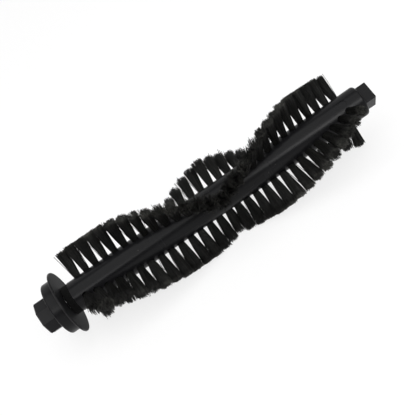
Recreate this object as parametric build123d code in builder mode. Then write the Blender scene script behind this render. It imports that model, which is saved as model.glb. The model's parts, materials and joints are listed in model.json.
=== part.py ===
"""Main-brush roller of a robot vacuum: a moulded core with three V-shaped rows of bristle tufts.

X runs along the axle, from the bearing cap's nose to the square drive stub, with the origin on the axle
halfway along the roller. Z is up, and the roller lies on its bristle tips.
Angles about the axle are in degrees, from +Z towards +Y. Lengths are in millimetres.
"""

import os
from math import atan, cos, degrees, pi, radians, sin

from build123d import *

# Core with its drive stub
core_length = 156.4
core_diameter = 14.7
core_edge_radius = 1.3
core_edge_chamfer = 0.4
stub_length = 5.2
stub_side = 8.9
stub_edge_radius = 0.5
stub_angle = -34.0
dimple_diameter = 4.6
dimple_depth = 0.25
dimple_from_end = 9.7
dimple_angle = -33.0

# Bristle tufts, in rows that run from their apex towards both ends of the core
row_count = 3
row_apex_angle = -59.5
bearing_sweep_angle = 110.0
drive_sweep_angle = 116.5
tufts_per_side = 14
apex_offset = 2.45
bare_bearing_end = 5.8
bare_drive_end = 8.9
brush_diameter = 42.0
tuft_hole_diameter = 3.15
tuft_tip_diameter = 5.0
tuft_sides = 12
tuft_clearance = 0.05
hole_floor_wall = 1.2
anchor_height = 1.2
anchor_thickness = 0.4
anchor_clearance = 0.1
rest_flat_depth = 0.45

# Bearing cap
nose_length = 7.4
nose_across_flats = 15.3
nose_sides = 8
nose_angle = -51.0
nose_chamfer = 0.5
nose_edge_radius = 0.5
housing_length = 5.6
housing_diameter = 25.8
housing_edge_radius = 0.9
flange_thickness = 1.0
flange_diameter = 31.3
flange_edge_chamfer = 0.25

# Axle pin with its clip, sleeve and seal
collar_length = 3.4
pin_diameter = 4.0
pin_depth = 25.0
pin_chamfer = 0.4
groove_depth = 0.45
clip_thickness = 0.6
clip_diameter = 7.0
clip_opening = 2.6
clip_play = 0.1
pin_overhang = 0.6
sleeve_diameter = 6.4
seal_setback = 0.2

# Ball bearing
bearing_diameter = 13.0
bearing_width = 5.0
bearing_recess = 0.3
ball_diameter = 2.4
ball_count = 7
ring_shoulder_gap = 1.4
cage_width = 3.2
cage_thickness = 1.0
shield_thickness = 0.3
shield_setback = 0.2

# Fits
press_gap = 0.01
ball_gap = 0.02
cage_gap = 0.1
shield_gap = 0.1
slip_gap = 0.1
running_gap = 0.3
relief_gap = 0.5

# Stations along the axle
lengths = (nose_length, housing_length, flange_thickness, collar_length, core_length, stub_length)
nose_end = -sum(lengths) / 2
housing_start = nose_end + nose_length
flange_start = housing_start + housing_length
flange_face = flange_start + flange_thickness
core_start = flange_face + collar_length
core_end = core_start + core_length
bearing_right = flange_face - bearing_recess
bearing_left = bearing_right - bearing_width
bearing_middle = (bearing_left + bearing_right) / 2
clip_right = bearing_left - clip_play
clip_left = clip_right - clip_thickness
pin_end = clip_left - pin_overhang
relief_floor = pin_end - relief_gap

# Radii about the axle
core_radius = core_diameter / 2
brush_radius = brush_diameter / 2
pin_radius = pin_diameter / 2
groove_radius = pin_radius - groove_depth
hole_radius = tuft_hole_diameter / 2
hole_floor = pin_radius + hole_floor_wall
ball_radius = ball_diameter / 2
bearing_radius = bearing_diameter / 2
pitch_radius = (pin_radius + bearing_radius) / 2
inner_shoulder = pitch_radius - ring_shoulder_gap / 2
outer_shoulder = pitch_radius + ring_shoulder_gap / 2
relief_radius = clip_diameter / 2 + relief_gap

# Tufts flare in a straight line from the mouth of their hole to the trimmed tip
tuft_root = hole_floor + anchor_height + tuft_clearance
tuft_mouth_radius = hole_radius - tuft_clearance
tuft_tip_radius = tuft_tip_diameter / 2
tuft_flare = (tuft_tip_radius - tuft_mouth_radius) / (brush_radius - core_radius)
tuft_root_radius = tuft_mouth_radius - tuft_flare * (core_radius - tuft_root)
tuft_length = brush_radius - tuft_root
tuft_side_slope = degrees(atan(tuft_flare * cos(pi / tuft_sides)))
on_base = (Align.CENTER, Align.CENTER, Align.MIN)


def radial_plane(x: float, angle: float, radius: float) -> Plane:
    """Plane across the spoke at this angle, at a distance from the axle, with its local X along the axle."""
    spoke = Vector(0, sin(radians(angle)), cos(radians(angle)))
    return Plane(origin=Vector(x, 0, 0) + spoke * radius, x_dir=(1, 0, 0), z_dir=spoke)


def tuft_planes(row: int, radius: float) -> list[Plane]:
    """Planes of one row's tufts from the bearing end to the drive end, a V that sweeps further on that side."""
    row_start = core_start + bare_bearing_end
    row_end = core_end - bare_drive_end
    apex = (row_start + row_end) / 2 + apex_offset
    apex_angle = row_apex_angle + row * 360 / row_count
    planes = []
    for step in range(-tufts_per_side, tufts_per_side + 1):
        arm = apex - row_start if step < 0 else row_end - apex
        sweep = bearing_sweep_angle if step < 0 else drive_sweep_angle
        share = step / tufts_per_side
        planes.append(radial_plane(apex + share * arm, apex_angle + abs(share) * sweep, radius))
    return planes


def turn_in_sketch(angle: float) -> float:
    """Turn of a sketch across the axle, from its own X (the roller's Y), for an angle measured from +Z."""
    return 90 - angle


all_hole_planes = [plane for row in range(row_count) for plane in tuft_planes(row, hole_floor)]

# Shallow dimple near the drive end, with a floor that follows the core
with BuildPart() as dimple_cutter:
    with BuildSketch(radial_plane(core_end - dimple_from_end, dimple_angle, 0)):
        Circle(dimple_diameter / 2)
    extrude(amount=core_diameter)
    with BuildSketch(Plane.YZ.offset(core_start)):
        Circle(core_radius - dimple_depth)
    extrude(amount=core_length, mode=Mode.SUBTRACT)

with BuildPart() as roller_core:
    with BuildSketch(Plane.YZ.offset(core_start)):
        Circle(core_radius)
    extrude(amount=core_length)
    ends = roller_core.edges().filter_by(GeomType.CIRCLE).sort_by(Axis.X)
    fillet(ends[-1], radius=core_edge_radius)
    chamfer(ends[0], length=core_edge_chamfer)
    with BuildSketch(Plane.YZ.offset(core_end)):
        RectangleRounded(stub_side, stub_side, stub_edge_radius, rotation=turn_in_sketch(stub_angle))
    extrude(amount=stub_length)
    chamfer(roller_core.faces().sort_by(Axis.X)[-1].edges(), length=stub_edge_radius / 2)
    with BuildSketch(Plane.YZ.offset(core_start)):
        Circle(pin_radius + press_gap)
    extrude(amount=pin_depth + press_gap, mode=Mode.SUBTRACT)
    add(dimple_cutter.part, mode=Mode.SUBTRACT)
    with Locations(*all_hole_planes):
        Cylinder(hole_radius, core_diameter, align=on_base, mode=Mode.SUBTRACT)
roller_core.part.label = "roller_core"

# One tuft standing on its root, with the flat sides of a packed bundle
with BuildPart() as tuft:
    with BuildSketch():
        RegularPolygon(tuft_root_radius, tuft_sides)
    extrude(amount=tuft_length)
    draft(tuft.faces().filter_by(Axis.Z, reverse=True), Plane.XY, -tuft_side_slope)

# Rows of trimmed tufts, pressed a little flat where the roller lies on them
bristle_rows = []
for row in range(row_count):
    with BuildPart() as bristle_row:
        with Locations(*tuft_planes(row, tuft_root)):
            add(tuft.part)
        split(bisect_by=Plane.XY.offset(rest_flat_depth - brush_radius), keep=Keep.TOP)
    bristle_row.part.label = f"bristle_row_{row + 1}"
    bristle_rows.append(bristle_row)

# Flat wire anchors, one on the floor of each tuft hole
anchor_rows = []
for row in range(row_count):
    with BuildPart() as anchor_row:
        with Locations(*tuft_planes(row, hole_floor)):
            Box(tuft_hole_diameter - 2 * anchor_clearance, anchor_thickness, anchor_height, align=on_base)
    anchor_row.part.label = f"row_{row + 1}_anchors"
    anchor_rows.append(anchor_row)

with BuildPart() as axle_pin:
    with BuildSketch(Plane.YZ.offset(pin_end)):
        Circle(pin_radius)
    extrude(amount=core_start + pin_depth - pin_end)
    chamfer(axle_pin.edges().filter_by(GeomType.CIRCLE), length=pin_chamfer)
    with BuildSketch(Plane.YZ.offset(clip_left - press_gap)):
        Circle(pin_radius)
        Circle(groove_radius, mode=Mode.SUBTRACT)
    extrude(amount=clip_thickness + 2 * press_gap, mode=Mode.SUBTRACT)
axle_pin.part.label = "axle_pin"

with BuildPart() as retaining_clip:
    with BuildSketch(Plane.YZ.offset(clip_left)):
        Circle(clip_diameter / 2)
        Circle(groove_radius + press_gap, mode=Mode.SUBTRACT)
        Rectangle(clip_diameter, clip_opening, align=(Align.MIN, Align.CENTER), mode=Mode.SUBTRACT)
    extrude(amount=clip_thickness)
retaining_clip.part.label = "retaining_clip"

with BuildPart() as spacer_sleeve:
    with BuildSketch(Plane.YZ.offset(bearing_right)):
        Circle(sleeve_diameter / 2)
        Circle(pin_radius + press_gap, mode=Mode.SUBTRACT)
    extrude(amount=core_start - bearing_right)
spacer_sleeve.part.label = "spacer_sleeve"

with BuildPart() as felt_seal:
    with BuildSketch(Plane.YZ.offset(flange_face + running_gap)):
        Circle(core_radius - seal_setback)
        Circle(sleeve_diameter / 2 + slip_gap, mode=Mode.SUBTRACT)
    extrude(amount=collar_length - running_gap)
felt_seal.part.label = "felt_seal"

with BuildPart() as bearing_inner_ring:
    with BuildSketch(Plane.YZ.offset(bearing_left)):
        Circle(inner_shoulder)
        Circle(pin_radius + press_gap, mode=Mode.SUBTRACT)
    extrude(amount=bearing_width)
    with BuildSketch(Plane.XY):
        with Locations((bearing_middle, pitch_radius)):
            Circle(ball_radius + ball_gap)
    revolve(axis=Axis.X, mode=Mode.SUBTRACT)
bearing_inner_ring.part.label = "bearing_inner_ring"

with BuildPart() as bearing_outer_ring:
    with BuildSketch(Plane.YZ.offset(bearing_left)):
        Circle(bearing_radius)
        Circle(outer_shoulder, mode=Mode.SUBTRACT)
    extrude(amount=bearing_width)
    with BuildSketch(Plane.XY):
        with Locations((bearing_middle, pitch_radius)):
            Circle(ball_radius + ball_gap)
    revolve(axis=Axis.X, mode=Mode.SUBTRACT)
bearing_outer_ring.part.label = "bearing_outer_ring"

race_plane = Plane.YZ.offset(bearing_middle)

with BuildPart() as bearing_balls:
    with Locations(race_plane):
        with PolarLocations(pitch_radius, ball_count):
            Sphere(ball_radius)
bearing_balls.part.label = "bearing_balls"

with BuildPart() as bearing_cage:
    with BuildSketch(race_plane):
        Circle(pitch_radius + cage_thickness / 2)
        Circle(pitch_radius - cage_thickness / 2, mode=Mode.SUBTRACT)
    extrude(amount=cage_width / 2, both=True)
    with Locations(race_plane):
        with PolarLocations(pitch_radius, ball_count):
            Cylinder(
                ball_radius + cage_gap,
                2 * cage_thickness,
                rotation=(0, 90, 0),
                mode=Mode.SUBTRACT,
            )
bearing_cage.part.label = "bearing_cage"

shield_starts = {
    "bearing_outer_shield": bearing_left + shield_setback,
    "bearing_inner_shield": bearing_right - shield_setback - shield_thickness,
}
shields = []
for shield_name, shield_start in shield_starts.items():
    with BuildPart() as shield:
        with BuildSketch(Plane.YZ.offset(shield_start)):
            Circle(outer_shoulder - press_gap)
            Circle(inner_shoulder + shield_gap, mode=Mode.SUBTRACT)
        extrude(amount=shield_thickness)
    shield.part.label = shield_name
    shields.append(shield)

# Cap: nose that stops it turning in the vacuum, housing around the bearing, and a flange that keeps hair out
with BuildPart() as bearing_cap:
    with BuildSketch(Plane.XY):
        with BuildLine():
            Polyline(
                (housing_start, 0),
                (housing_start, housing_diameter / 2),
                (flange_start, housing_diameter / 2),
                (flange_start, flange_diameter / 2),
                (flange_face, flange_diameter / 2),
                (flange_face, 0),
                close=True,
            )
        make_face()
    revolve(axis=Axis.X)
    rims = bearing_cap.edges().filter_by(GeomType.CIRCLE).sort_by(Axis.X)
    fillet(rims[0], radius=housing_edge_radius)
    chamfer(rims[-2:], length=flange_edge_chamfer)
    with BuildSketch(Plane.YZ.offset(housing_start)) as nose_outline:
        RegularPolygon(
            nose_across_flats / 2,
            nose_sides,
            major_radius=False,
            rotation=turn_in_sketch(nose_angle) - 180 / nose_sides,
        )
        fillet(nose_outline.vertices(), radius=nose_edge_radius)
    extrude(amount=-nose_length)
    chamfer(bearing_cap.faces().sort_by(Axis.X)[0].edges(), length=nose_chamfer)
    with BuildSketch(Plane.YZ.offset(flange_face)):
        Circle(bearing_radius + press_gap)
    extrude(amount=bearing_left - flange_face, mode=Mode.SUBTRACT)
    with BuildSketch(Plane.YZ.offset(bearing_left)):
        Circle(relief_radius)
    extrude(amount=relief_floor - bearing_left, mode=Mode.SUBTRACT)
bearing_cap.part.label = "bearing_cap"

pieces = [
    roller_core,
    *bristle_rows,
    *anchor_rows,
    axle_pin,
    retaining_clip,
    spacer_sleeve,
    felt_seal,
    bearing_inner_ring,
    bearing_outer_ring,
    bearing_balls,
    bearing_cage,
    *shields,
    bearing_cap,
]
os.makedirs("parts", exist_ok=True)
for piece in pieces:
    export_step(piece.part, f"parts/{piece.part.label}.step")
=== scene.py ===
"""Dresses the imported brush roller: bristle fibres, finishes, floor, light and camera.

Lengths are in metres, in the roller's own frame: X along the axle towards the square drive stub, Z up.
"""

import json
import logging
import math
from dataclasses import dataclass, field
from enum import Enum, IntEnum
from typing import Any

import bmesh
import bpy
import numpy as np
from mathutils import Matrix, Vector


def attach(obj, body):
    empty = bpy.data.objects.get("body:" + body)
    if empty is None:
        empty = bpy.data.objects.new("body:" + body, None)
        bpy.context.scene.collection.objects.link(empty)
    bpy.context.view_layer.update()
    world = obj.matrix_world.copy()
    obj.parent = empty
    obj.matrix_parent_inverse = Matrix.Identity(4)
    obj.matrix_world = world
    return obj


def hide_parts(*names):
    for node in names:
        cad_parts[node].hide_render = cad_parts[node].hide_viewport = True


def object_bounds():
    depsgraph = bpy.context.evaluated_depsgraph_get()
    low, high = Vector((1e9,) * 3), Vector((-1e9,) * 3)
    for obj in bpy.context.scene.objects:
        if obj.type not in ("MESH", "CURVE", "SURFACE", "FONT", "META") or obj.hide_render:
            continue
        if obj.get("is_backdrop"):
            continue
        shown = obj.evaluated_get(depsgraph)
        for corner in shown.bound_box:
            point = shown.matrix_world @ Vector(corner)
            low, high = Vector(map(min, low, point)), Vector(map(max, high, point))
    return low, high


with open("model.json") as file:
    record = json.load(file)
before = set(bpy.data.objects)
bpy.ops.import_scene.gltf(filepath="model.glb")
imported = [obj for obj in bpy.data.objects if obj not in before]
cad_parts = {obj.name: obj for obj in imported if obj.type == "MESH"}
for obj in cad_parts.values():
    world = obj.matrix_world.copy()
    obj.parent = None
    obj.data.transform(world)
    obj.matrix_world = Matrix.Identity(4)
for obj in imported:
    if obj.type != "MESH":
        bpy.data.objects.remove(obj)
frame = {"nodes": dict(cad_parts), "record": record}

log = logging.getLogger("brush_roller")
MM = 0.001
WELD = 0.001 * MM
END_BAND = 0.6 * MM
NOISE_LOW, NOISE_HIGH = 0.35, 0.65
Colour = tuple[float, float, float]
AlongRow = tuple[float, ...]


class Body(Enum):
    """Rigid bodies of the frame that the scene's own pieces ride on."""

    ROLLER = "roller"


class Slot(Enum):
    """Material slots of the record."""

    CORE = "core_plastic"
    CAP = "cap_plastic"
    BRISTLE = "bristle"
    FELT = "felt"
    STEEL = "steel"
    SPRING_STEEL = "spring_steel"
    BEARING_STEEL = "bearing_steel"
    CAGE_BRASS = "cage_brass"
    ANCHOR_WIRE = "anchor_wire"


class Draw(IntEnum):
    """Random draws that shape a tuft, each with a seed of its own."""

    TURN = 1
    STRAY = 2
    FLARE = 3
    AXIAL_SCATTER = 4
    AXIAL_LEAN = 5
    LATERAL_SCATTER = 7
    LATERAL_LEAN = 8
    TRIM = 10
    LENGTH = 11
    STRAY_REACH = 12
    AXIAL_BOW = 13
    LATERAL_BOW = 14
    OWN_TONE = 15
    TUFT_TONE = 16


class NodeBuilder:
    """Shorthand for adding and joining the nodes of one tree."""

    def __init__(self, tree: bpy.types.NodeTree) -> None:
        """Takes the tree that the nodes go into."""
        self.tree = tree

    def add(self, kind: str, inputs: dict[Any, Any] | None = None, **settings: Any) -> bpy.types.Node:
        """Adds a node.

        Args:
            kind: Blender's type name of the node.
            inputs: values or output sockets, by the input's name or place.
            **settings: properties of the node itself.

        Returns:
            The new node.
        """
        node = self.tree.nodes.new(kind)
        for name, value in settings.items():
            setattr(node, name, value)
        for key, value in (inputs or {}).items():
            self.feed(node.inputs[key], value)
        return node

    def feed(self, socket: bpy.types.NodeSocket, value: Any) -> None:
        """Links an output socket to an input, or sets the input's value."""
        if isinstance(value, bpy.types.NodeSocket):
            self.tree.links.new(value, socket)
        else:
            socket.default_value = value

    def math(self, operation: str, first: Any, second: Any = 0.0,
             clamp: bool = False) -> bpy.types.NodeSocket:
        """Adds a Math node and returns its result."""
        node = self.add("ShaderNodeMath", {0: first, 1: second}, operation=operation, use_clamp=clamp)
        return node.outputs[0]

    def vector(self, operation: str, first: Any, second: Any = (0, 0, 0)) -> bpy.types.NodeSocket:
        """Adds a Vector Math node and returns its vector result."""
        node = self.add("ShaderNodeVectorMath", {0: first, 1: second}, operation=operation)
        return node.outputs[0]

    def scaled(self, vector: Any, factor: Any) -> bpy.types.NodeSocket:
        """Adds a Vector Math node that scales a vector, and returns its result."""
        node = self.add("ShaderNodeVectorMath", {0: vector, "Scale": factor}, operation="SCALE")
        return node.outputs[0]

    def mix_colour(self, factor: Any, first: Any, second: Any) -> bpy.types.NodeSocket:
        """Adds a colour Mix node and returns its result."""
        node = self.add("ShaderNodeMix", {0: factor, 6: first, 7: second}, data_type="RGBA")
        return node.outputs[2]

    def remap(self, value: Any, low: float, high: float,
              to_low: float, to_high: float) -> bpy.types.NodeSocket:
        """Adds a clamped Map Range node and returns its result."""
        inputs = {0: value, 1: low, 2: high, 3: to_low, 4: to_high}
        return self.add("ShaderNodeMapRange", inputs, clamp=True).outputs[0]


def rgba(colour: Colour) -> tuple[float, float, float, float]:
    """Colour with full opacity."""
    return (*colour, 1.0)


class SurfaceEffects:
    """Shader node groups that several finishes share."""

    def __init__(self) -> None:
        """Builds the groups once."""
        self.grain = self._moulded_grain()
        self.wear = self._handling_wear()
        # Edge mask for the painted edge highlight on sharp edges.
        self.edges = self._painted_edge_highlight()

    @staticmethod
    def _new_group(name: str, inputs: dict[str, float],
                   outputs: dict[str, str]) -> tuple[Any, NodeBuilder, Any, Any]:
        """Starts a shader group.

        Args:
            name: the group's name.
            inputs: number inputs and their starting values.
            outputs: output names and their socket types.

        Returns:
            The tree, its builder, its input node and its output node.
        """
        tree = bpy.data.node_groups.new(name, "ShaderNodeTree")
        for label, value in inputs.items():
            socket = tree.interface.new_socket(label, in_out="INPUT", socket_type="NodeSocketFloat")
            socket.default_value = value
        for label, kind in outputs.items():
            tree.interface.new_socket(label, in_out="OUTPUT", socket_type=kind)
        make = NodeBuilder(tree)
        return tree, make, make.add("NodeGroupInput"), make.add("NodeGroupOutput")

    def _moulded_grain(self) -> bpy.types.NodeTree:
        """Fine skin of moulded plastic: a height and a slow variation of the gloss."""
        inputs = {"Grain per metre": 9000.0, "Flow per metre": 60.0}
        outputs = {"Height": "NodeSocketFloat", "Flow": "NodeSocketFloat"}
        tree, make, given, out = self._new_group("Moulded grain", inputs, outputs)
        place = make.add("ShaderNodeTexCoord").outputs["Object"]
        fine = make.add("ShaderNodeTexNoise", {"Vector": place, "Scale": given.outputs[0], "Detail": 2.0})
        stretched = make.vector("MULTIPLY", place, (0.25, 1.0, 1.0))
        slow = make.add("ShaderNodeTexNoise", {"Vector": stretched, "Scale": given.outputs[1], "Detail": 4.0})
        make.feed(out.inputs["Height"], fine.outputs[0])
        make.feed(out.inputs["Flow"], slow.outputs[0])
        return tree

    def _handling_wear(self) -> bpy.types.NodeTree:
        """Hair-line rubbing round the axle, and sparse pale specks of lint."""
        inputs = {"Lines per metre": 700.0, "Specks per metre": 420.0, "Speck size": 0.09}
        outputs = {"Rubbing": "NodeSocketFloat", "Specks": "NodeSocketFloat"}
        tree, make, given, out = self._new_group("Handling wear", inputs, outputs)
        place = make.add("ShaderNodeTexCoord").outputs["Object"]
        across = make.vector("MULTIPLY", place, (1.0, 0.06, 0.06))
        lines = make.add("ShaderNodeTexNoise", {"Vector": across, "Scale": given.outputs[0], "Detail": 5.0})
        patches = make.add("ShaderNodeTexNoise", {"Vector": place, "Scale": 90.0, "Detail": 2.0})
        rubbed = make.math("MULTIPLY", make.remap(lines.outputs[0], 0.52, 0.72, 0.0, 1.0),
                           make.remap(patches.outputs[0], 0.42, 0.66, 0.0, 1.0))
        cells = make.add("ShaderNodeTexVoronoi", {"Vector": place, "Scale": given.outputs[1]})
        near = make.math("LESS_THAN", cells.outputs["Distance"], given.outputs[2])
        chosen = make.add("ShaderNodeSeparateColor", {0: cells.outputs["Color"]})
        specks = make.math("MULTIPLY", near, make.math("GREATER_THAN", chosen.outputs[0], 0.8))
        make.feed(out.inputs["Rubbing"], rubbed)
        make.feed(out.inputs["Specks"], specks)
        return tree

    def _painted_edge_highlight(self) -> bpy.types.NodeTree:
        """Mask along sharp edges, broken up by noise, which the plastic uses for a painted edge highlight."""
        inputs = {"Width": 0.35 * MM, "Break up per metre": 1500.0}
        tree, make, given, out = self._new_group("Painted edge highlight", inputs, {"Mask": "NodeSocketFloat"})
        rounded = make.add("ShaderNodeBevel", {"Radius": given.outputs[0]}, samples=6)
        plain = make.add("ShaderNodeNewGeometry")
        alike = make.add("ShaderNodeVectorMath", {0: rounded.outputs[0], 1: plain.outputs["Normal"]},
                         operation="DOT_PRODUCT")
        bend = make.remap(alike.outputs["Value"], 0.995, 0.93, 0.0, 1.0)
        place = make.add("ShaderNodeTexCoord").outputs["Object"]
        noise = make.add("ShaderNodeTexNoise", {"Vector": place, "Scale": given.outputs[1], "Detail": 3.0})
        broken = make.remap(noise.outputs[0], 0.35, 0.6, 0.3, 1.0)
        make.feed(out.inputs["Mask"], make.math("MULTIPLY", bend, broken))
        return tree


def new_material(name: str) -> tuple[bpy.types.Material, NodeBuilder, bpy.types.Node]:
    """Material with an empty tree that ends in a Principled BSDF.

    Args:
        name: the material's name.

    Returns:
        The material, a builder for its tree and the Principled node.
    """
    material = bpy.data.materials.new(name)
    material.use_nodes = True
    material.node_tree.nodes.clear()
    make = NodeBuilder(material.node_tree)
    shader = make.add("ShaderNodeBsdfPrincipled")
    make.add("ShaderNodeOutputMaterial", {0: shader.outputs[0]})
    return material, make, shader


@dataclass(frozen=True)
class MouldedPlastic:
    """Black satin injection-moulded plastic."""

    name: str
    colour: Colour
    # Colour of the real rubbing wear, and also of the painted edge highlight on sharp edges.
    rubbed_and_edge_highlight_colour: Colour
    roughness: float
    speck_colour: Colour = (0.09, 0.088, 0.08)
    speck_cover: float = 0.5
    roughness_spread: float = 0.1
    end_face_roughness: float = 0.6
    grain_height: float = 0.004 * MM
    # Strength of the painted edge highlight on sharp edges.
    edge_highlight_lift: float = 0.5
    rubbing_lift: float = 0.2
    rubbed_roughness: float = 0.15
    refraction: float = 1.48
    specular_level: float = 0.14

    def material(self, effects: SurfaceEffects) -> bpy.types.Material:
        """Builds the material.

        Args:
            effects: the shared node groups.

        Returns:
            The finished material.
        """
        material, make, shader = new_material(self.name)
        grain = make.add("ShaderNodeGroup", node_tree=effects.grain)
        wear = make.add("ShaderNodeGroup", node_tree=effects.wear)
        edges = make.add("ShaderNodeGroup", node_tree=effects.edges)
        # Painted edge highlight: sharp edges are lightened towards the rubbed colour; worn carries this
        # painted highlight together with the real rubbing wear.
        edge = make.math("MULTIPLY", edges.outputs[0], self.edge_highlight_lift)
        worn = make.math("MAXIMUM", make.math("MULTIPLY", wear.outputs["Rubbing"], self.rubbing_lift), edge)
        base = make.mix_colour(worn, rgba(self.colour), rgba(self.rubbed_and_edge_highlight_colour))
        specked = make.math("MULTIPLY", wear.outputs["Specks"], self.speck_cover)
        make.feed(shader.inputs["Base Color"], make.mix_colour(specked, base, rgba(self.speck_colour)))
        gloss = make.remap(grain.outputs["Flow"], 0.3, 0.7, self.roughness - self.roughness_spread / 2,
                           self.roughness + self.roughness_spread / 2)
        rubbed_gloss = make.math("ADD", gloss, make.math("MULTIPLY", worn, self.rubbed_roughness))
        make.feed(shader.inputs["Roughness"], make.math("MAXIMUM", rubbed_gloss, self._end_faces(make)))
        bump = make.add("ShaderNodeBump", {"Height": grain.outputs["Height"], "Distance": self.grain_height})
        make.feed(shader.inputs["Normal"], bump.outputs[0])
        shader.inputs["IOR"].default_value = self.refraction
        shader.inputs["Specular IOR Level"].default_value = self.specular_level
        return material

    def _end_faces(self, make: NodeBuilder) -> bpy.types.NodeSocket:
        """Roughness of the flat faces across the axle, which have a duller, eroded skin, and 0 elsewhere."""
        normal = make.add("ShaderNodeTexCoord").outputs["Normal"]
        across = make.math("ABSOLUTE", make.add("ShaderNodeSeparateXYZ", {0: normal}).outputs[0])
        return make.remap(across, 0.85, 0.98, 0.0, self.end_face_roughness)


@dataclass(frozen=True)
class NylonFibre:
    """Black nylon filament, each fibre with a tone of its own."""

    name: str = "Bristle nylon"
    dark: Colour = (0.003, 0.003, 0.0028)
    light: Colour = (0.026, 0.026, 0.0235)
    tip: Colour = (0.1, 0.099, 0.088)
    tip_from: float = 0.93
    contrast: float = 2.0
    mottle_per_metre: float = 900.0
    least_mottle: float = 0.55
    most_mottle: float = 1.3
    dark_roughness: float = 0.57
    light_roughness: float = 0.35
    specular_level: float = 0.2

    def material(self) -> bpy.types.Material:
        """Builds the material from the fibres' tone and along attributes."""
        material, make, shader = new_material(self.name)
        tone = make.add("ShaderNodeAttribute", attribute_name="tone").outputs["Fac"]
        along = make.add("ShaderNodeAttribute", attribute_name="along").outputs["Fac"]
        place = make.add("ShaderNodeTexCoord").outputs["Object"]
        mottle = make.add("ShaderNodeTexNoise", {
            "Vector": place, "Scale": self.mottle_per_metre, "Detail": 2.0})
        patchy = make.remap(mottle.outputs[0], NOISE_LOW, NOISE_HIGH, self.least_mottle, self.most_mottle)
        uneven = make.math("POWER", tone, self.contrast)
        shade = make.math("MULTIPLY", uneven, patchy, clamp=True)
        body = make.mix_colour(shade, rgba(self.dark), rgba(self.light))
        cut_end = make.math("MULTIPLY", make.remap(along, self.tip_from, 1.0, 0.0, 1.0), uneven)
        gloss = make.remap(tone, 0.0, 1.0, self.dark_roughness, self.light_roughness)
        make.feed(shader.inputs["Base Color"], make.mix_colour(cut_end, body, rgba(self.tip)))
        make.feed(shader.inputs["Roughness"], gloss)
        shader.inputs["Specular IOR Level"].default_value = self.specular_level
        return material


@dataclass(frozen=True)
class PressedFelt:
    """Dense black wool felt."""

    name: str = "Seal felt"
    colour: Colour = (0.003, 0.003, 0.003)
    lint_colour: Colour = (0.011, 0.011, 0.0105)
    hairs_per_metre: float = 3200.0
    hair_tangle: float = 1.6
    hair_height: float = 0.12 * MM
    roughness: float = 0.95
    specular_level: float = 0.1
    sheen: float = 0.03

    def material(self) -> bpy.types.Material:
        """Builds the material, with crossing hairs in its bump."""
        material, make, shader = new_material(self.name)
        place = make.add("ShaderNodeTexCoord").outputs["Object"]
        hairs = make.add("ShaderNodeTexNoise", {
            "Vector": place, "Scale": self.hairs_per_metre, "Detail": 5.0, "Distortion": self.hair_tangle})
        lint = make.remap(hairs.outputs[0], 0.5, 0.7, 0.0, 1.0)
        colour = make.mix_colour(lint, rgba(self.colour), rgba(self.lint_colour))
        bump = make.add("ShaderNodeBump", {"Height": hairs.outputs[0], "Distance": self.hair_height})
        make.feed(shader.inputs["Base Color"], colour)
        make.feed(shader.inputs["Normal"], bump.outputs[0])
        shader.inputs["Roughness"].default_value = self.roughness
        shader.inputs["Specular IOR Level"].default_value = self.specular_level
        shader.inputs["Sheen Weight"].default_value = self.sheen
        return material


@dataclass(frozen=True)
class TurnedMetal:
    """Metal with fine marks round the axle."""

    name: str
    colour: Colour
    stain: Colour
    roughness: float
    marked_roughness: float = 0.15
    marks_per_metre: float = 4000.0
    stains_per_metre: float = 220.0
    stain_cover: float = 0.5

    def material(self, effects: SurfaceEffects) -> bpy.types.Material:
        """Builds the material.

        Args:
            effects: the shared node groups.

        Returns:
            The finished material.
        """
        material, make, shader = new_material(self.name)
        marks = {"Lines per metre": self.marks_per_metre}
        stains = {"Flow per metre": self.stains_per_metre}
        wear = make.add("ShaderNodeGroup", marks, node_tree=effects.wear)
        grain = make.add("ShaderNodeGroup", stains, node_tree=effects.grain)
        dull = make.math("MULTIPLY", grain.outputs["Flow"], self.stain_cover)
        rougher = self.roughness + self.marked_roughness
        make.feed(shader.inputs["Base Color"], make.mix_colour(dull, rgba(self.colour), rgba(self.stain)))
        make.feed(shader.inputs["Roughness"],
                  make.remap(wear.outputs["Rubbing"], 0.0, 1.0, self.roughness, rougher))
        shader.inputs["Metallic"].default_value = 1.0
        return material


@dataclass(frozen=True)
class Tuft:
    """One tuft's place: its root on the spoke, and the spoke's direction away from the axle."""

    root: Vector
    spoke: Vector


@dataclass(frozen=True)
class Lie:
    """How a row's bristles lie after use, at stations spaced evenly from the bearing end to the drive end.

    Attributes:
        set_angle: how far the tips are combed round the axle, in degrees.
        splay: how far the tips lean towards the drive end, in millimetres.
        worn: how much shorter the tips are, in millimetres.
        spread: flare at the tips, as a multiple of the solid tuft's.
        swell: how far a tuft swells at mid-length, in millimetres.
    """

    set_angle: AlongRow
    splay: AlongRow
    worn: AlongRow
    spread: AlongRow
    swell: float

    def at_tufts(self, count: int) -> dict[str, np.ndarray]:
        """Spreads the stations' values over a row's tufts.

        Args:
            count: number of tufts in the row.

        Returns:
            Each tuft's values, by the name of the attribute that carries them.
        """
        return {
            "comb": np.tan(np.radians(self._along(self.set_angle, count))),
            "splay": self._along(self.splay, count) * MM,
            "worn": self._along(self.worn, count) * MM,
            "spread": self._along(self.spread, count),
        }

    @staticmethod
    def _along(stations: AlongRow, count: int) -> np.ndarray:
        """Values at evenly spaced tufts, between the stations in a straight line."""
        return np.interp(np.linspace(0.0, 1.0, count), np.linspace(0.0, 1.0, len(stations)), stations)


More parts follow.
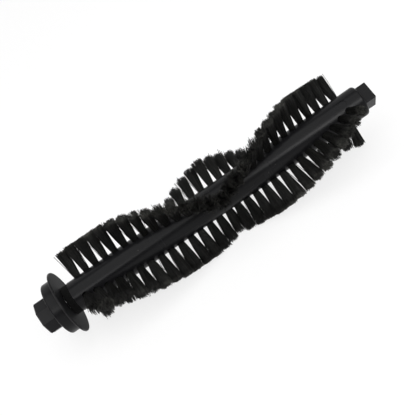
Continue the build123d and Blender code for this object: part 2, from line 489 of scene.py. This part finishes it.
@dataclass
class BristleRow:
    """One V-shaped row of tufts, made of separate fibres in place of the solid tufts."""

    node: str
    seed: int
    lie: Lie
    fibres_per_tuft: int = 200
    fibre_radius: float = 0.125 * MM
    sides: int = 3
    segments: int = 4
    tufts: list[Tuft] = field(default_factory=list)
    root_radius: float = 0.0
    tip_radius: float = 0.0
    root_distance: float = 0.0
    tip_distance: float = 0.0

    def measure(self) -> None:
        """Reads each tuft's place and flare from the solid tufts of the row."""
        mesh = bmesh.new()
        mesh.from_mesh(frame["nodes"][self.node].data)
        bmesh.ops.remove_doubles(mesh, verts=mesh.verts, dist=WELD)
        mesh.verts.ensure_lookup_table()
        waiting = set(mesh.verts)
        flares = []
        while waiting:
            island = [waiting.pop()]
            for vert in island:
                linked = {edge.other_vert(vert) for edge in vert.link_edges} & waiting
                waiting -= linked
                island.extend(linked)
            flares.append(self._measure_tuft(np.array([vert.co for vert in island])))
        mesh.free()
        root_radii, tip_radii, root_distances, tip_distances = np.array(flares).T
        self.root_radius = float(np.median(root_radii))
        self.tip_radius = float(np.median(tip_radii))
        self.root_distance = float(np.median(root_distances))
        self.tip_distance = float(np.median(tip_distances))
        self.tufts.sort(key=lambda tuft: tuft.root.x)

    def _measure_tuft(self, points: np.ndarray) -> tuple[float, float, float, float]:
        """Adds one tuft from its solid's points.

        Args:
            points: the solid's corners, one row each.

        Returns:
            Radius at the root, radius at the tip, and the root's and tip's distance from the axle.
        """
        guess = points.mean(0) * (0, 1, 1)
        guess /= np.linalg.norm(guess)
        heights = points @ guess
        low = points[heights < heights.min() + END_BAND]
        root = (low.min(0) + low.max(0)) / 2
        spoke = root * (0, 1, 1)
        distance = float(np.linalg.norm(spoke))
        spoke /= distance
        heights = points @ spoke
        sideways = np.linalg.norm(points - (root[0], 0, 0) - np.outer(heights, spoke), axis=1)
        self.tufts.append(Tuft(Vector(root), Vector(spoke)))
        root_radius = sideways[heights < heights.min() + END_BAND].max()
        return float(root_radius), float(sideways.max()), distance, float(heights.max())

    def build(self, tree: bpy.types.NodeTree, material: bpy.types.Material, floor: float) -> bpy.types.Object:
        """Grows the fibres and turns them into one plain mesh.

        Args:
            tree: the Geometry Nodes tree that grows tufts.
            material: the fibres' finish.
            floor: height that the lowest tips lie on.

        Returns:
            The row's object, at the origin.
        """
        seedbed = bpy.data.meshes.new(self.node + "_seedbed")
        seedbed.from_pydata([tuft.root for tuft in self.tufts], [], [])
        spokes = seedbed.attributes.new("spoke", "FLOAT_VECTOR", "POINT")
        spokes.data.foreach_set("vector", np.array([tuft.spoke for tuft in self.tufts], np.float32).ravel())
        for name, values in self.lie.at_tufts(len(self.tufts)).items():
            attribute = seedbed.attributes.new(name, "FLOAT", "POINT")
            attribute.data.foreach_set("value", values.astype(np.float32))
        grower = bpy.data.objects.new(self.node + "_fibres", seedbed)
        bpy.context.scene.collection.objects.link(grower)
        modifier = grower.modifiers.new("Tufts", "NODES")
        modifier.node_group = tree
        inputs = {
            "Fibres": self.fibres_per_tuft,
            "Fibre radius": self.fibre_radius,
            "Sides": self.sides,
            "Segments": self.segments,
            "Root radius": self.root_radius - self.fibre_radius,
            "Tip radius": self.tip_radius,
            "Swell": self.lie.swell * MM,
            "Root distance": self.root_distance,
            "Tip distance": self.tip_distance,
            "Floor": floor,
            "Seed": self.seed,
            "Material": material,
        }
        for item in tree.interface.items_tree:
            if item.in_out == "INPUT" and item.name in inputs:
                modifier[item.identifier] = inputs[item.name]
        graph = bpy.context.evaluated_depsgraph_get()
        mesh = bpy.data.meshes.new_from_object(grower.evaluated_get(graph))
        mesh.name = self.node + "_fibres"
        grower.modifiers.remove(modifier)
        grower.data = mesh
        bpy.data.meshes.remove(seedbed)
        return grower


class TuftGrower:
    """Geometry Nodes tree that grows a tuft of fibres on each point of a seedbed."""

    GOLDEN_ANGLE = math.pi * (3 - math.sqrt(5))
    FILL = 0.46
    LEAST_FLARE = 0.92
    MOST_FLARE = 1.08
    TIP_SCATTER = 0.4 * MM
    TRIM_SCATTER = 0.5 * MM
    SHORTEST_TUFT = -0.1 * MM
    LONGEST_TUFT = 0.35 * MM
    STRAY_SHARE = 0.06
    STRAY_REACH = 0.5 * MM
    STRAY_SCATTER = 3.0
    LEAN = 0.25 * MM
    CLUMP_SHIFT = 0.7 * MM
    CLUMPS_PER_METRE = 330.0
    CLUMP_RISE = 1.5
    BOW = 0.2 * MM
    STRANDS_PER_METRE = 1100.0
    STRAND_SHARE = 0.35
    TUFT_SHARE = 0.35

    def __init__(self) -> None:
        """Builds the tree."""
        self.tree = bpy.data.node_groups.new("Bristle tufts", "GeometryNodeTree")
        self._declare_sockets()
        self.make = NodeBuilder(self.tree)
        self.given = self.make.add("NodeGroupInput")
        self._grow()

    def _declare_sockets(self) -> None:
        """Names the tree's inputs and its output."""
        face = self.tree.interface
        face.new_socket("Geometry", in_out="INPUT", socket_type="NodeSocketGeometry")
        for name in ("Fibres", "Sides", "Segments", "Seed"):
            face.new_socket(name, in_out="INPUT", socket_type="NodeSocketInt")
        radii = ("Fibre radius", "Root radius", "Tip radius")
        for name in (*radii, "Swell", "Root distance", "Tip distance", "Floor"):
            face.new_socket(name, in_out="INPUT", socket_type="NodeSocketFloat")
        face.new_socket("Material", in_out="INPUT", socket_type="NodeSocketMaterial")
        face.new_socket("Geometry", in_out="OUTPUT", socket_type="NodeSocketGeometry")

    def _random(self, low: float, high: float, draw: Draw, index: Any = None) -> bpy.types.NodeSocket:
        """Random number for each element.

        Args:
            low: least value.
            high: greatest value.
            draw: which draw it is, added to the tree's seed.
            index: socket with the number that the draw belongs to, or None for the element's own.

        Returns:
            The random value's socket.
        """
        make = self.make
        seed = make.math("ADD", self.given.outputs["Seed"], float(draw))
        node = make.add("FunctionNodeRandomValue", {2: low, 3: high, "Seed": seed}, data_type="FLOAT")
        if index is not None:
            make.feed(node.inputs["ID"], index)
        return node.outputs[1]

    def _named(self, name: str, kind: str) -> bpy.types.NodeSocket:
        """Named attribute of the given data type."""
        return self.make.add("GeometryNodeInputNamedAttribute", {"Name": name}, data_type=kind).outputs[0]

    def _store(self, geometry: Any, name: str, value: Any, kind: str) -> bpy.types.NodeSocket:
        """Stores a named attribute on the points and returns the geometry."""
        kind_of_node = "GeometryNodeStoreNamedAttribute"
        inputs = {"Geometry": geometry, "Name": name, "Value": value}
        return self.make.add(kind_of_node, inputs, data_type=kind, domain="POINT").outputs[0]

    def _fibre(self) -> bpy.types.NodeSocket:
        """Unit fibre along Z, with its height stored as the along attribute."""
        make, given = self.make, self.given
        tube = make.add("GeometryNodeMeshCylinder", {
            "Vertices": given.outputs["Sides"],
            "Side Segments": given.outputs["Segments"],
            "Radius": 1.0,
            "Depth": 1.0,
        }, fill_type="NGON")
        raised = make.add("GeometryNodeTransform", {0: tube.outputs[0], "Translation": (0, 0, 0.5)})
        place = make.add("GeometryNodeInputPosition").outputs[0]
        height = make.add("ShaderNodeSeparateXYZ", {0: place}).outputs[2]
        return self._store(raised.outputs[0], "along", height, "FLOAT")

    def _grow(self) -> None:
        """Joins the nodes: scatter roots, lay fibres from root to tip, clump, bow and trim them."""
        make, given = self.make, self.given
        tuft = make.add("GeometryNodeInputIndex").outputs[0]
        seedbed = self._store(given.outputs["Geometry"], "tuft", tuft, "INT")
        copies = make.add("GeometryNodeDuplicateElements", {
            "Geometry": seedbed, "Amount": given.outputs["Fibres"],
        }, domain="POINT")
        place = copies.outputs["Duplicate Index"]
        spoke = self._named("spoke", "FLOAT_VECTOR")
        tuft = self._named("tuft", "INT")
        axle = make.add("ShaderNodeCombineXYZ", {0: 1.0}).outputs[0]
        side = make.vector("CROSS_PRODUCT", axle, spoke)

        filled = make.math("DIVIDE", make.math("ADD", place, 0.5), given.outputs["Fibres"])
        out = make.math("POWER", filled, self.FILL)
        turn = make.math("ADD", make.math("MULTIPLY", place, self.GOLDEN_ANGLE),
                         self._random(0.0, math.tau, Draw.TURN, tuft))
        axial = make.math("MULTIPLY", out, make.math("COSINE", turn))
        lateral = make.math("MULTIPLY", out, make.math("SINE", turn))

        stray = make.math("LESS_THAN", self._random(0.0, 1.0, Draw.STRAY), self.STRAY_SHARE)
        root_axial = make.math("MULTIPLY", axial, given.outputs["Root radius"])
        root_lateral = make.math("MULTIPLY", lateral, given.outputs["Root radius"])
        uneven_flare = self._random(self.LEAST_FLARE, self.MOST_FLARE, Draw.FLARE, tuft)
        flare = make.math("MULTIPLY", given.outputs["Tip radius"],
                          make.math("MULTIPLY", self._named("spread", "FLOAT"), uneven_flare))
        splay = self._named("splay", "FLOAT")
        loose_axial = self._loosely(stray, Draw.AXIAL_SCATTER, Draw.AXIAL_LEAN)
        spread_axial = make.math("MULTIPLY", axial, flare)
        tip_axial = make.math("ADD", make.math("ADD", spread_axial, loose_axial), splay)
        comb = make.math("MULTIPLY", given.outputs["Tip distance"], self._named("comb", "FLOAT"))
        loose_lateral = self._loosely(stray, Draw.LATERAL_SCATTER, Draw.LATERAL_LEAN)
        spread_lateral = make.math("MULTIPLY", lateral, flare)
        tip_lateral = make.math("ADD", make.math("ADD", spread_lateral, loose_lateral), comb)
        squared = make.math("SUBTRACT", make.math("POWER", given.outputs["Tip distance"], 2.0),
                            make.math("POWER", tip_lateral, 2.0))
        cut = self._random(0.0, self.TRIM_SCATTER, Draw.TRIM)
        trimmed = make.math("SUBTRACT", make.math("SQRT", squared), cut)
        more = self._random(self.SHORTEST_TUFT, self.LONGEST_TUFT, Draw.LENGTH, tuft)
        uneven = make.math("SUBTRACT", make.math("ADD", trimmed, more), self._named("worn", "FLOAT"))
        proud = make.math("MULTIPLY", stray, self._random(0.0, self.STRAY_REACH, Draw.STRAY_REACH))
        tall = make.math("ADD", uneven, proud)
        rise = make.math("SUBTRACT", tall, given.outputs["Root distance"])

        root = make.vector("ADD", make.add("GeometryNodeInputPosition").outputs[0],
                           self._in_tuft(axle, side, root_axial, root_lateral))
        sideways = self._in_tuft(axle, side, make.math("SUBTRACT", tip_axial, root_axial),
                                 make.math("SUBTRACT", tip_lateral, root_lateral))
        reach = make.vector("ADD", make.scaled(spoke, rise), sideways)
        bow_axial = self._bow(axial, Draw.AXIAL_BOW)
        bow_lateral = self._bow(lateral, Draw.LATERAL_BOW)
        bow = self._in_tuft(axle, side, bow_axial, bow_lateral)

        rooted = make.add("GeometryNodeSetPosition", {"Geometry": self._with_fibre_facts(
            copies.outputs[0], root, reach, bow), "Position": root}).outputs[0]
        self._lay_fibres(rooted)

    def _loosely(self, stray: Any, scatter: Draw, lean: Draw) -> bpy.types.NodeSocket:
        """How far a fibre's tip leaves its place along one direction, by itself and with its tuft.

        Args:
            stray: 1 for a stray fibre, 0 for the rest.
            scatter: draw for the fibre itself.
            lean: draw for its tuft.

        Returns:
            The offset in metres.
        """
        make = self.make
        loose = make.math("ADD", 1.0, make.math("MULTIPLY", stray, self.STRAY_SCATTER))
        alone = make.math("MULTIPLY", self._random(-self.TIP_SCATTER, self.TIP_SCATTER, scatter), loose)
        together = self._random(-self.LEAN, self.LEAN, lean, self._named("tuft", "INT"))
        return make.math("ADD", alone, together)

    def _bow(self, share: Any, draw: Draw) -> bpy.types.NodeSocket:
        """How far a fibre's middle leaves the straight line along one direction: at random, and outwards.

        Args:
            share: the root's offset as a share of the root's radius.
            draw: the draw for the random part.

        Returns:
            The offset in metres.
        """
        make = self.make
        swell = make.math("MULTIPLY", share, self.given.outputs["Swell"])
        return make.math("ADD", self._random(-self.BOW, self.BOW, draw), swell)

    def _in_tuft(self, axle: Any, side: Any, axial: Any, lateral: Any) -> bpy.types.NodeSocket:
        """Vector with these offsets along the axle and round it."""
        make = self.make
        return make.vector("ADD", make.scaled(axle, axial), make.scaled(side, lateral))

    def _with_fibre_facts(self, geometry: Any, root: Any, reach: Any, bow: Any) -> bpy.types.NodeSocket:
        """Stores each fibre's reach, its bow, and a tone that is partly its tuft's and its strand's."""
        make = self.make
        geometry = self._store(geometry, "reach", reach, "FLOAT_VECTOR")
        geometry = self._store(geometry, "bow", bow, "FLOAT_VECTOR")
        strands = make.add("ShaderNodeTexNoise", {
            "Vector": root, "Scale": self.STRANDS_PER_METRE, "Detail": 1.0})
        strand = make.remap(strands.outputs[0], NOISE_LOW, NOISE_HIGH, 0.0, self.STRAND_SHARE)
        own = self._random(0.0, 1.0 - self.STRAND_SHARE - self.TUFT_SHARE, Draw.OWN_TONE)
        whole_tuft = self._random(0.0, self.TUFT_SHARE, Draw.TUFT_TONE, self._named("tuft", "INT"))
        tone = make.math("ADD", make.math("ADD", strand, whole_tuft), own)
        return self._store(geometry, "tone", tone, "FLOAT")

    def _lay_fibres(self, rooted: Any) -> None:
        """Puts a fibre on each root, then clumps, bows and flattens them on the floor."""
        make, given = self.make, self.given
        reach = self._named("reach", "FLOAT_VECTOR")
        length = make.add("ShaderNodeVectorMath", {0: reach}, operation="LENGTH").outputs["Value"]
        turned = make.add("FunctionNodeAlignRotationToVector", {"Vector": reach}, axis="Z").outputs[0]
        size = make.add("ShaderNodeCombineXYZ", {
            0: given.outputs["Fibre radius"], 1: given.outputs["Fibre radius"], 2: length}).outputs[0]
        fibres = make.add("GeometryNodeInstanceOnPoints", {
            "Points": rooted, "Instance": self._fibre(), "Rotation": turned, "Scale": size})
        laid = make.add("GeometryNodeRealizeInstances", {0: fibres.outputs[0]}).outputs[0]

        along = self._named("along", "FLOAT")
        place = make.add("GeometryNodeInputPosition").outputs[0]
        clump = make.add("ShaderNodeTexNoise", {
            "Vector": place, "Scale": self.CLUMPS_PER_METRE, "Detail": 1.0})
        pull = make.math("MULTIPLY", make.math("POWER", along, self.CLUMP_RISE), self.CLUMP_SHIFT)
        shift = make.scaled(make.vector("SUBTRACT", clump.outputs["Color"], (0.5, 0.5, 0.5)), pull)
        arch = make.math("MULTIPLY", make.math("MULTIPLY", along, make.math("SUBTRACT", 1.0, along)), 4.0)
        bowed = make.vector("ADD", shift, make.scaled(self._named("bow", "FLOAT_VECTOR"), arch))
        moved = make.add("GeometryNodeSetPosition", {0: laid, "Offset": bowed}).outputs[0]
        here = make.add("ShaderNodeSeparateXYZ", {0: make.add("GeometryNodeInputPosition").outputs[0]})
        on_floor = make.add("ShaderNodeCombineXYZ", {
            0: here.outputs[0], 1: here.outputs[1],
            2: make.math("MAXIMUM", here.outputs[2], given.outputs["Floor"])}).outputs[0]
        flat = make.add("GeometryNodeSetPosition", {0: moved, "Position": on_floor}).outputs[0]
        smooth = make.add("GeometryNodeSetShadeSmooth", {0: flat}).outputs[0]
        dressed = make.add("GeometryNodeSetMaterial", {0: smooth, "Material": given.outputs["Material"]})
        make.add("NodeGroupOutput", {0: dressed.outputs[0]})


@dataclass
class RollerBody:
    """Core, axle and bearing: solids that keep their shape and take a finish."""

    effects: SurfaceEffects

    def finishes(self) -> dict[Slot, bpy.types.Material]:
        """Builds the finish of each slot.

        Returns:
            One material for each slot but the bristles'.
        """
        core = MouldedPlastic("Core plastic", (0.0065, 0.0065, 0.0072), (0.022, 0.022, 0.023), 0.25)
        cap = MouldedPlastic("Cap plastic", (0.007, 0.007, 0.0077), (0.034, 0.034, 0.034), 0.32)
        metals = {
            Slot.STEEL: TurnedMetal("Ground steel", (0.58, 0.58, 0.58), (0.42, 0.41, 0.4), 0.28),
            Slot.SPRING_STEEL: TurnedMetal("Spring steel", (0.22, 0.22, 0.23), (0.14, 0.13, 0.12), 0.36),
            Slot.BEARING_STEEL: TurnedMetal("Bearing steel", (0.68, 0.68, 0.69), (0.55, 0.55, 0.55), 0.14),
            Slot.CAGE_BRASS: TurnedMetal("Cage brass", (0.62, 0.46, 0.2), (0.42, 0.3, 0.13), 0.3),
            Slot.ANCHOR_WIRE: TurnedMetal("Anchor brass", (0.6, 0.45, 0.21), (0.38, 0.28, 0.13), 0.38),
        }
        built = {slot: finish.material(self.effects) for slot, finish in metals.items()}
        built[Slot.CORE] = core.material(self.effects)
        built[Slot.CAP] = cap.material(self.effects)
        built[Slot.FELT] = PressedFelt().material()
        return built

    def dress(self) -> None:
        """Gives every solid of the frame the finish of its slot."""
        materials = self.finishes()
        for part in frame["record"]["subparts"]:
            slot = Slot(part["material_slot"])
            if slot is Slot.BRISTLE:
                continue
            solid = frame["nodes"][part["node"]]
            solid.data.materials.clear()
            solid.data.materials.append(materials[slot])
            log.info("%s gets %s", part["node"], materials[slot].name)


@dataclass
class Brush:
    """The three rows of tufts."""

    rows: dict[str, Lie] = field(default_factory=lambda: {
        "bristle_row_1": Lie(
            set_angle=(4.0, 4.0, 3.5, 4.0, 1.0, 5.5, 6.5, 5.0, 0.0),
            splay=(-0.9, 0.0, 0.7, 0.7, 0.0, 0.3, 0.5, 0.4, -0.1),
            worn=(0.0, -0.1, 0.0, -0.2, 0.0, 0.0, 0.2, 0.5, 0.6),
            spread=(1.08, 1.08, 1.06, 1.3, 1.9, 1.3, 1.06, 1.08, 1.08),
            swell=0.0),
        "bristle_row_2": Lie(
            set_angle=(0.0, 0.0, 0.0, 2.5, 4.0, 3.0, 0.0, 0.0, -3.0),
            splay=(0.5, 0.0, 0.0, 0.0, 0.5, 0.3, 0.0, 0.0, 0.0),
            worn=(0.0, 0.0, 0.0, 0.0, -0.2, 0.0, 0.0, 0.0, 0.0),
            spread=(1.2, 1.15, 1.08, 1.08, 1.08, 1.08, 1.08, 1.15, 1.1),
            swell=0.0),
        "bristle_row_3": Lie(
            set_angle=(10.0, 3.5, -1.5, -2.5, -2.5, -2.5, -2.5, -1.0, 4.0),
            splay=(2.8, 1.2, 0.8, 0.3, 0.0, 0.3, 1.0, 2.2, 1.5),
            worn=(0.2, 0.0, -0.3, -0.4, -0.4, -0.3, -0.3, -0.2, 0.6),
            spread=(1.3, 1.2, 1.1, 1.1, 1.1, 1.1, 1.1, 1.2, 0.9),
            swell=0.2),
    })
    first_seed: int = 40
    seed_step: int = 100

    def build(self, floor: float) -> None:
        """Grows every row and lets it stand for its solid tufts.

        Args:
            floor: height that the roller lies on.
        """
        grower = TuftGrower()
        nylon = NylonFibre().material()
        for number, (node, lie) in enumerate(self.rows.items()):
            row = BristleRow(node, self.first_seed + self.seed_step * number, lie)
            row.measure()
            fibres = row.build(grower.tree, nylon, floor)
            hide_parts(node)
            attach(fibres, Body.ROLLER.value)
            log.info("%s: %d tufts, %d faces", fibres.name, len(row.tufts), len(fibres.data.polygons))


@dataclass(frozen=True)
class Softbox:
    """Rectangular lamp that faces the roller.

    Azimuth is in degrees from the camera's side towards +X, and elevation in degrees above the floor.
    Radiance is the brightness of the lamp's face, where 1 is white.
    """

    name: str
    azimuth: float
    elevation: float
    distance: float
    width: float
    depth: float
    radiance: float

    def place(self) -> None:
        """Adds the lamp to the scene."""
        turn, lift = math.radians(self.azimuth), math.radians(self.elevation)
        level = Vector((math.sin(turn), -math.cos(turn), 0))
        direction = level * math.cos(lift) + Vector((0, 0, math.sin(lift)))
        data = bpy.data.lights.new(self.name, "AREA")
        data.shape = "RECTANGLE"
        data.size = self.width
        data.size_y = self.depth
        data.energy = math.pi * self.width * self.depth * self.radiance
        lamp = bpy.data.objects.new(self.name, data)
        lamp.location = direction * self.distance
        lamp.rotation_euler = direction.to_track_quat("Z", "Y").to_euler()
        bpy.context.scene.collection.objects.link(lamp)


@dataclass
class Studio:
    """Pale floor, soft light and the camera at the photograph's viewing angle."""

    elevation: float = 35.0
    axle_rise: float = 34.65
    lens: float = 63.0
    sensor: float = 36.0
    distance: float = 0.3285
    aim_right: float = 0.5 * MM
    aim_up: float = -0.85 * MM
    nearest_seen: float = 0.01
    floor_half_width: float = 6.0
    rim_height: float = 1.0
    floor_colour: Colour = (0.25, 0.25, 0.25)
    floor_glow: float = 0.75
    world_light: float = 0.06
    softboxes: tuple[Softbox, ...] = (
        Softbox("Overhead softbox", 0.0, 67.5, 1.0, 2.4, 1.53, 1.55),
        Softbox("Back softbox", 180.0, 38.0, 1.0, 2.4, 0.93, 0.8),
        Softbox("Right window", 24.0, 32.0, 1.5, 0.65, 0.4, 7.5),
        Softbox("Left window", -26.0, 34.0, 1.5, 0.6, 0.3, 2.5),
    )

    def view_axes(self) -> tuple[Vector, Vector, Vector]:
        """Directions of the image's right side, of its top, and from the roller to the camera."""
        lift = math.radians(self.elevation)
        to_camera = Vector((0, -math.cos(lift), math.sin(lift)))
        over = Vector((0, math.sin(lift), math.cos(lift)))
        rise = math.radians(self.axle_rise)
        axle = Vector((1, 0, 0))
        right = axle * math.cos(rise) - over * math.sin(rise)
        top = axle * math.sin(rise) + over * math.cos(rise)
        return right, top, to_camera

    def place_camera(self) -> None:
        """Adds the camera and makes it the scene's own."""
        right, top, to_camera = self.view_axes()
        data = bpy.data.cameras.new("Photo camera")
        data.lens = self.lens
        data.sensor_width = self.sensor
        data.clip_start = self.nearest_seen
        camera = bpy.data.objects.new("Photo camera", data)
        bpy.context.scene.collection.objects.link(camera)
        turn = Matrix((right, top, to_camera)).transposed().to_4x4()
        aim = right * self.aim_right + top * self.aim_up
        camera.matrix_world = Matrix.Translation(aim + to_camera * self.distance) @ turn
        bpy.context.scene.camera = camera

    @staticmethod
    def seen_directly(make: NodeBuilder) -> bpy.types.NodeSocket:
        """1 for rays from the camera, mirrors and glass, which see the white ground, and 0 for light."""
        path = make.add("ShaderNodeLightPath")
        direct = make.math("MAXIMUM", path.outputs["Is Camera Ray"], path.outputs["Is Glossy Ray"])
        return make.math("MAXIMUM", direct, path.outputs["Is Transmission Ray"])

    def lay_floor(self, height: float) -> None:
        """Adds the floor, white to the eye, which keeps the roller's shadow, with a rim far off as backdrop.

        Args:
            height: the floor's level.
        """
        half, top = self.floor_half_width, height + self.rim_height
        mesh = bpy.data.meshes.new("Floor")
        outline = [(-half, -half), (half, -half), (half, half), (-half, half)]
        corners = [(x, y, z) for z in (height, top) for x, y in outline]
        rim = [(side, (side + 1) % 4, (side + 1) % 4 + 4, side + 4) for side in range(4)]
        mesh.from_pydata(corners, [], [(0, 1, 2, 3), *rim])
        floor = bpy.data.objects.new("Floor", mesh)
        bpy.context.scene.collection.objects.link(floor)
        material = bpy.data.materials.new("Pale floor")
        material.use_nodes = True
        material.node_tree.nodes.clear()
        make = NodeBuilder(material.node_tree)
        paper = make.add("ShaderNodeBsdfDiffuse", {"Color": rgba(self.floor_colour)})
        shine = make.math("MULTIPLY", self.seen_directly(make), self.floor_glow)
        glow = make.add("ShaderNodeEmission", {"Color": (1, 1, 1, 1), "Strength": shine})
        both = make.add("ShaderNodeAddShader", {0: paper.outputs[0], 1: glow.outputs[0]})
        make.add("ShaderNodeOutputMaterial", {0: both.outputs[0]})
        mesh.materials.append(material)
        floor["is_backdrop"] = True

    def light(self) -> None:
        """Adds dim surroundings and the softboxes."""
        world = bpy.data.worlds.new("Studio")
        bpy.context.scene.world = world
        world.use_nodes = True
        world.node_tree.nodes.clear()
        make = NodeBuilder(world.node_tree)
        ground = make.add("ShaderNodeBackground", {"Color": (1, 1, 1, 1), "Strength": self.world_light})
        make.add("ShaderNodeOutputWorld", {0: ground.outputs[0]})

        for softbox in self.softboxes:
            softbox.place()

    def set_up(self, floor: float) -> None:
        """Adds camera, floor and light, and plain colour handling.

        Args:
            floor: height that the roller lies on.
        """
        bpy.context.scene.view_settings.view_transform = "Standard"
        self.place_camera()
        self.lay_floor(floor)
        self.light()


def main() -> None:
    """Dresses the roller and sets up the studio."""
    logging.basicConfig(level=logging.INFO, format="%(name)s: %(message)s")
    cad_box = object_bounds()
    floor = cad_box[0].z
    RollerBody(SurfaceEffects()).dress()
    Brush().build(floor)
    Studio().set_up(floor)


if __name__ == "__main__":
    main()
